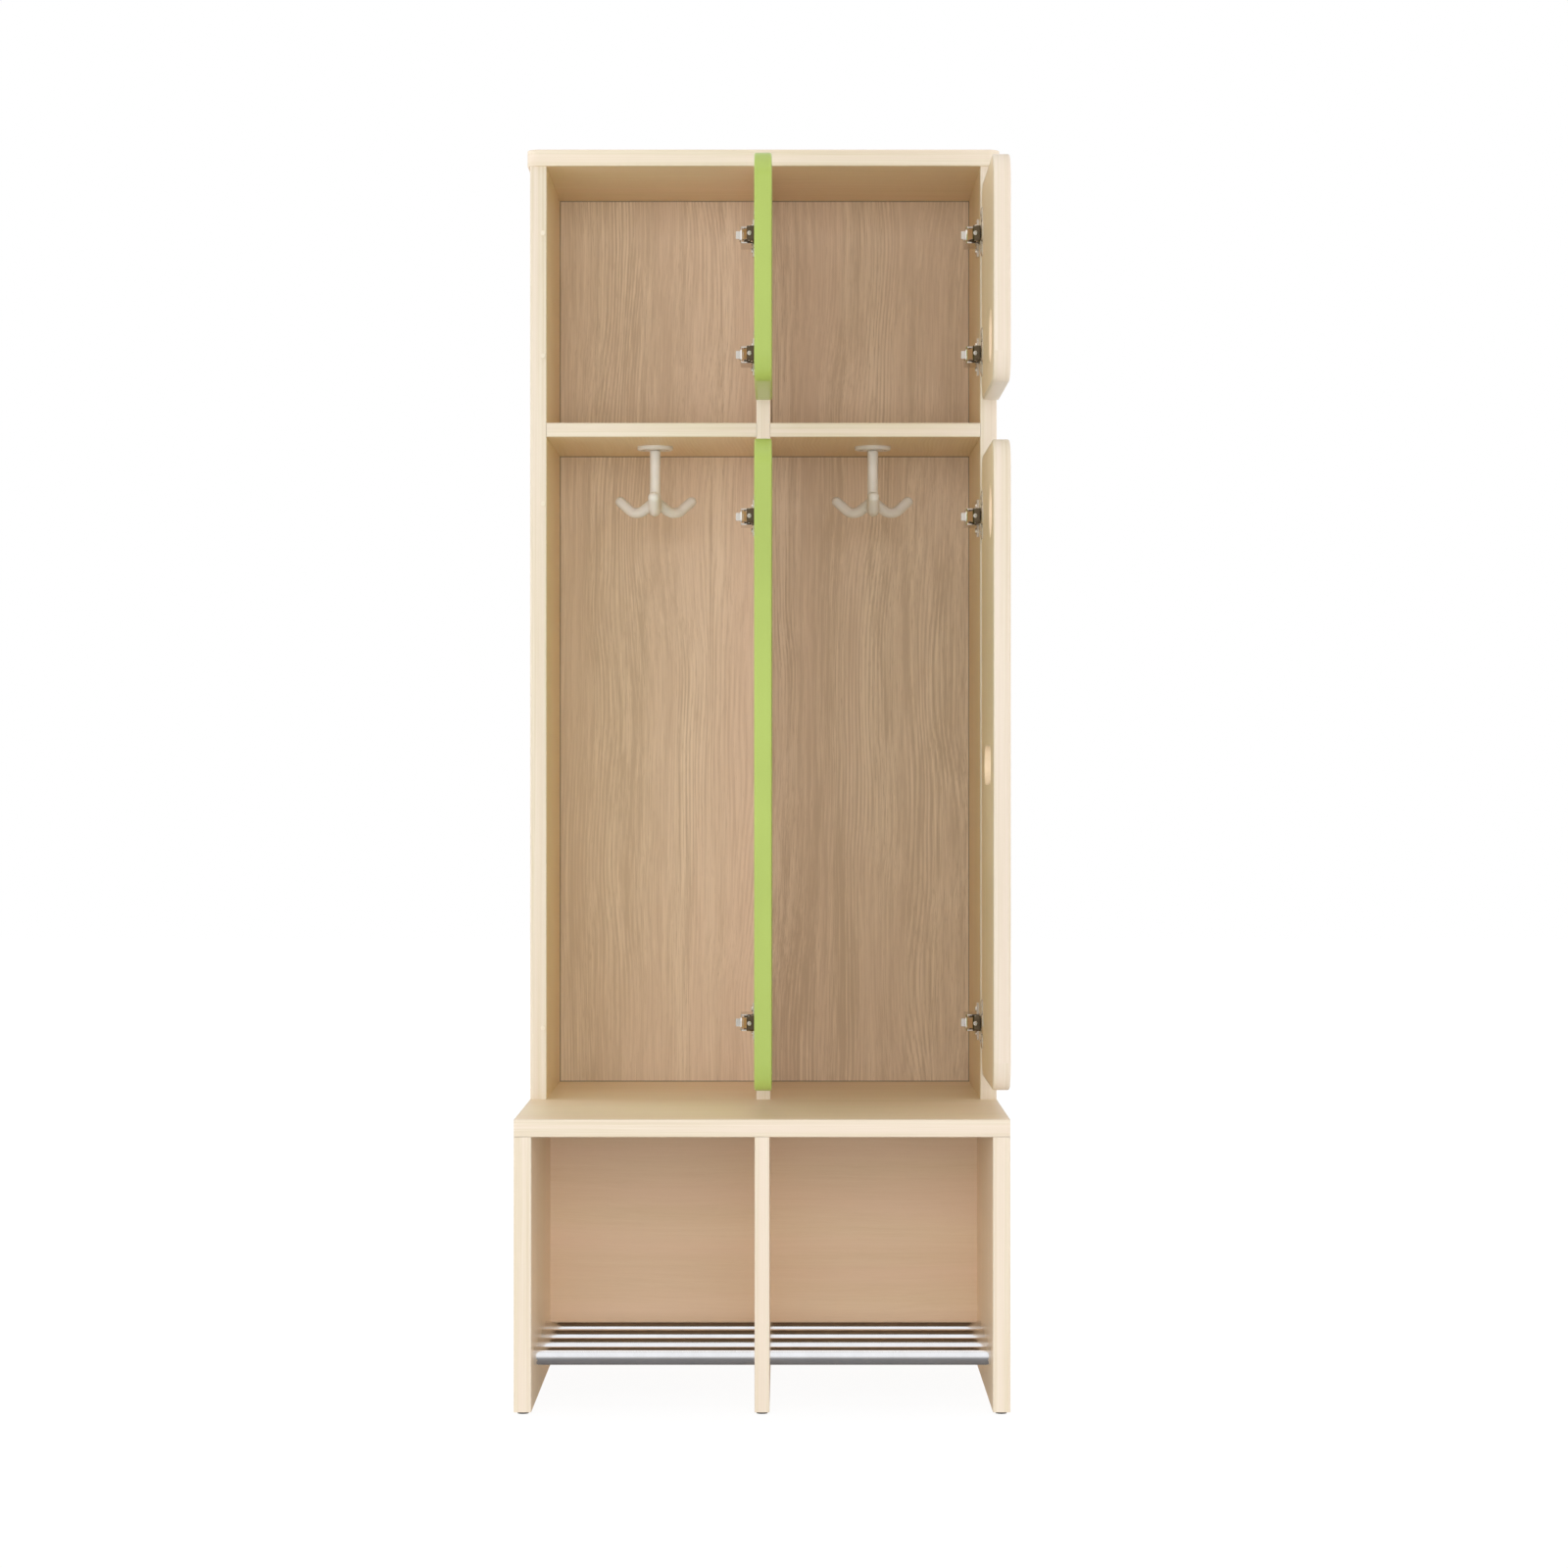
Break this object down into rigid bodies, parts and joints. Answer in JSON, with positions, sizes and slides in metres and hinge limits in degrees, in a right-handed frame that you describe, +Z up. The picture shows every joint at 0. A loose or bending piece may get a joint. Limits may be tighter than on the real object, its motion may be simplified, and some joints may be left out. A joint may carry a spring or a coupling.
{
  "type": "cloakroom unit",
  "caption": "Wooden cloakroom unit: lockers with hinged doors and swivelling coat hooks above a deep bench seat with a tubular shoe rack.",
  "frame": {"origin": "on the floor, at the centre of the bounding box's bottom face", "axes": "+Z up, -Y towards the user who sits on the bench, +X to the right as seen from the front"},
  "size_m": [0.608, 0.61, 1.5775],
  "materials": {
    "board": "satin",
    "back_panel": "satin",
    "door_green": "satin",
    "door_light": "satin",
    "dowel_wood": "matte",
    "tube_steel": "polished",
    "hinge_steel": "nickel-plated",
    "screw_steel": "nickel-plated",
    "hook_plastic": "satin",
    "glide_plastic": "matte",
    "buffer_plastic": "matte"
  },
  "bodies": {
    "cabinet": {"top_panel": "board", "side_left": "board", "side_right": "board", "divider": "board", "shelf_left": "board", "shelf_right": "board", "bench_board": "board", "bench_side_left": "board", "bench_side_right": "board", "bench_divider": "board", "bench_back": "board", "cabinet_back": "back_panel", "shoe_tube_1": "tube_steel", "shoe_tube_2": "tube_steel", "shoe_tube_3": "tube_steel", "shoe_tube_4": "tube_steel", "hinge_arm_upper_left_top": "hinge_steel", "hinge_arm_upper_left_bottom": "hinge_steel", "hinge_arm_lower_left_top": "hinge_steel", "hinge_arm_lower_left_bottom": "hinge_steel", "hinge_arm_upper_right_top": "hinge_steel", "hinge_arm_upper_right_bottom": "hinge_steel", "hinge_arm_lower_right_top": "hinge_steel", "hinge_arm_lower_right_bottom": "hinge_steel", "hinge_plates": "hinge_steel", "hinge_plate_screws": "screw_steel", "hinge_arm_screws": "screw_steel", "hook_rosette_left": "hook_plastic", "hook_rosette_right": "hook_plastic", "hook_screws": "screw_steel", "carcass_dowels": "dowel_wood", "bench_screws": "screw_steel", "floor_glides": "glide_plastic", "door_buffers": "buffer_plastic"},
    "upper_left_door": {"door_upper_left": "door_green", "hinge_cup_upper_left_top": "hinge_steel", "hinge_cup_upper_left_bottom": "hinge_steel", "hinge_pins_upper_left": "hinge_steel", "cup_screws_upper_left": "screw_steel"},
    "lower_left_door": {"door_lower_left": "door_green", "hinge_cup_lower_left_top": "hinge_steel", "hinge_cup_lower_left_bottom": "hinge_steel", "hinge_pins_lower_left": "hinge_steel", "cup_screws_lower_left": "screw_steel"},
    "upper_right_door": {"door_upper_right": "door_light", "hinge_cup_upper_right_top": "hinge_steel", "hinge_cup_upper_right_bottom": "hinge_steel", "hinge_pins_upper_right": "hinge_steel", "cup_screws_upper_right": "screw_steel"},
    "lower_right_door": {"door_lower_right": "door_light", "hinge_cup_lower_right_top": "hinge_steel", "hinge_cup_lower_right_bottom": "hinge_steel", "hinge_pins_lower_right": "hinge_steel", "cup_screws_lower_right": "screw_steel"},
    "left_hook": {"hook_left": "hook_plastic", "hook_axle_left": "screw_steel"},
    "right_hook": {"hook_right": "hook_plastic", "hook_axle_right": "screw_steel"}
  },
  "joints": [
    {"name": "upper_left_door_hinge", "type": "hinge", "parent": "cabinet", "child": "upper_left_door", "pos_m": [0.0005, -0.013, 1.3915], "axis": [0, 0, 1], "range_deg": [-90, 5]},
    {"name": "lower_left_door_hinge", "type": "hinge", "parent": "cabinet", "child": "lower_left_door", "pos_m": [0.0005, -0.013, 0.7855], "axis": [0, 0, 1], "range_deg": [-90, 5]},
    {"name": "upper_right_door_hinge", "type": "hinge", "parent": "cabinet", "child": "upper_right_door", "pos_m": [0.2905, -0.013, 1.3915], "axis": [0, 0, 1], "range_deg": [-90, 5]},
    {"name": "lower_right_door_hinge", "type": "hinge", "parent": "cabinet", "child": "lower_right_door", "pos_m": [0.2905, -0.013, 0.7855], "axis": [0, 0, 1], "range_deg": [-90, 5]},
    {"name": "left_hook_swivel", "type": "hinge", "parent": "cabinet", "child": "left_hook", "pos_m": [-0.144, 0.147, 1.19], "axis": [0, 0, 1], "continuous": true},
    {"name": "right_hook_swivel", "type": "hinge", "parent": "cabinet", "child": "right_hook", "pos_m": [0.144, 0.147, 1.19], "axis": [0, 0, 1], "continuous": true}
  ]
}
